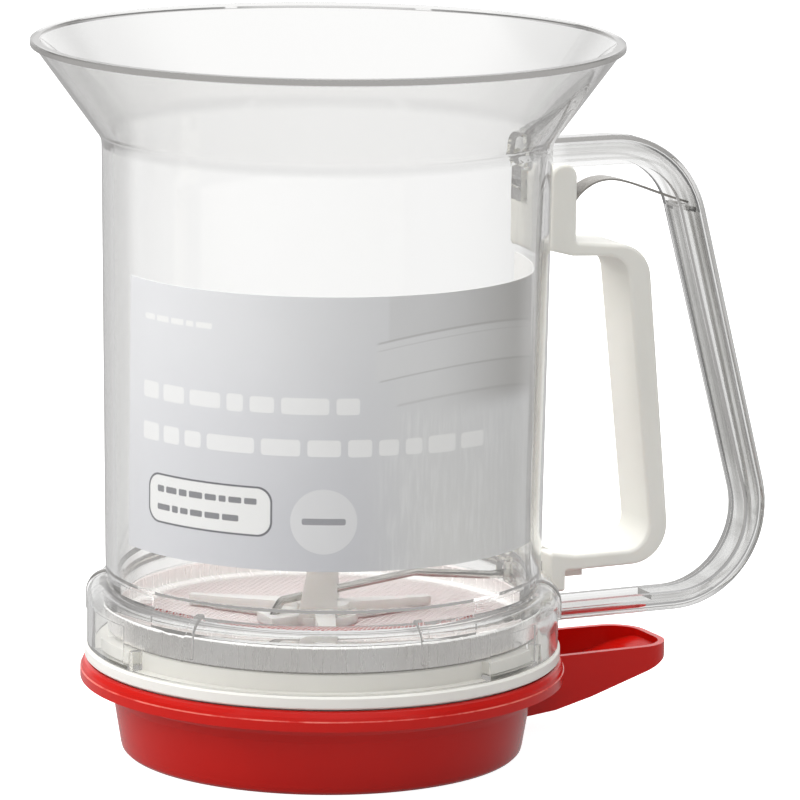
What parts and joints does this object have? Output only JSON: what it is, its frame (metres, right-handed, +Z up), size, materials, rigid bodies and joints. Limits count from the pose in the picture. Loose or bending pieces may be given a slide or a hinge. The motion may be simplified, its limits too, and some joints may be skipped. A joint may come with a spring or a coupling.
{
  "type": "flour sifter",
  "caption": "One-hand flour sifter: clear flared cup with handle and squeeze lever that drives a wire-linked agitator over a mesh base, standing in a spouted catch tray.",
  "frame": {"origin": "centre of the catch tray's flat underside, on the cup axis", "axes": "+Z up along the cup axis, +X toward the handle and the tray's pouring lip"},
  "size_m": [0.1891, 0.1402, 0.1711],
  "materials": {
    "clear_plastic": "clear polished moulding",
    "white_plastic": "smooth opaque white",
    "natural_plastic": "translucent natural",
    "red_plastic": "glossy red",
    "stainless": "brushed",
    "spring_steel": "bright rolled",
    "mesh_steel": "woven wire",
    "card": null
  },
  "bodies": {
    "tray": {"catch_tray": "red_plastic"},
    "cup": {"cup_body": "clear_plastic", "grip_cover": "clear_plastic"},
    "lever": {"lever": "white_plastic", "leaf_spring": "spring_steel", "lever_pin": "stainless"},
    "drive": {"drive_wire": "stainless", "agitator": "natural_plastic"},
    "sieve": {"retaining_ring": "white_plastic", "sieve_frame": "stainless", "sieve_mesh": "mesh_steel"},
    "card": {"label_card": "card"}
  },
  "joints": [
    {"name": "lift_off", "type": "slide", "parent": "tray", "child": "cup", "axis": [0, 0, 1], "range_m": [0, 0.06]},
    {"name": "squeeze", "type": "hinge", "parent": "cup", "child": "lever", "pos_m": [0.059, 0, 0.1335], "axis": [0, -1, 0], "range_deg": [0, 8.5], "stiffness_Nm_per_rad": 2.5, "deforming": ["leaf_spring"]},
    {"name": "drive_stroke", "type": "slide", "parent": "cup", "child": "drive", "axis": [1, 0, 0], "range_m": [0, 0.0142]},
    {"name": "ring_twist", "type": "hinge", "parent": "cup", "child": "sieve", "pos_m": [0, 0, 0.028], "axis": [0, 0, 1], "range_deg": [-24, 0]},
    {"name": "card_lift", "type": "slide", "parent": "cup", "child": "card", "axis": [0, 0, 1], "range_m": [0, 0.12]}
  ],
  "couplings": [
    {"joint": "drive_stroke", "follows": "squeeze", "m_per_rad": 0.0956}
  ]
}
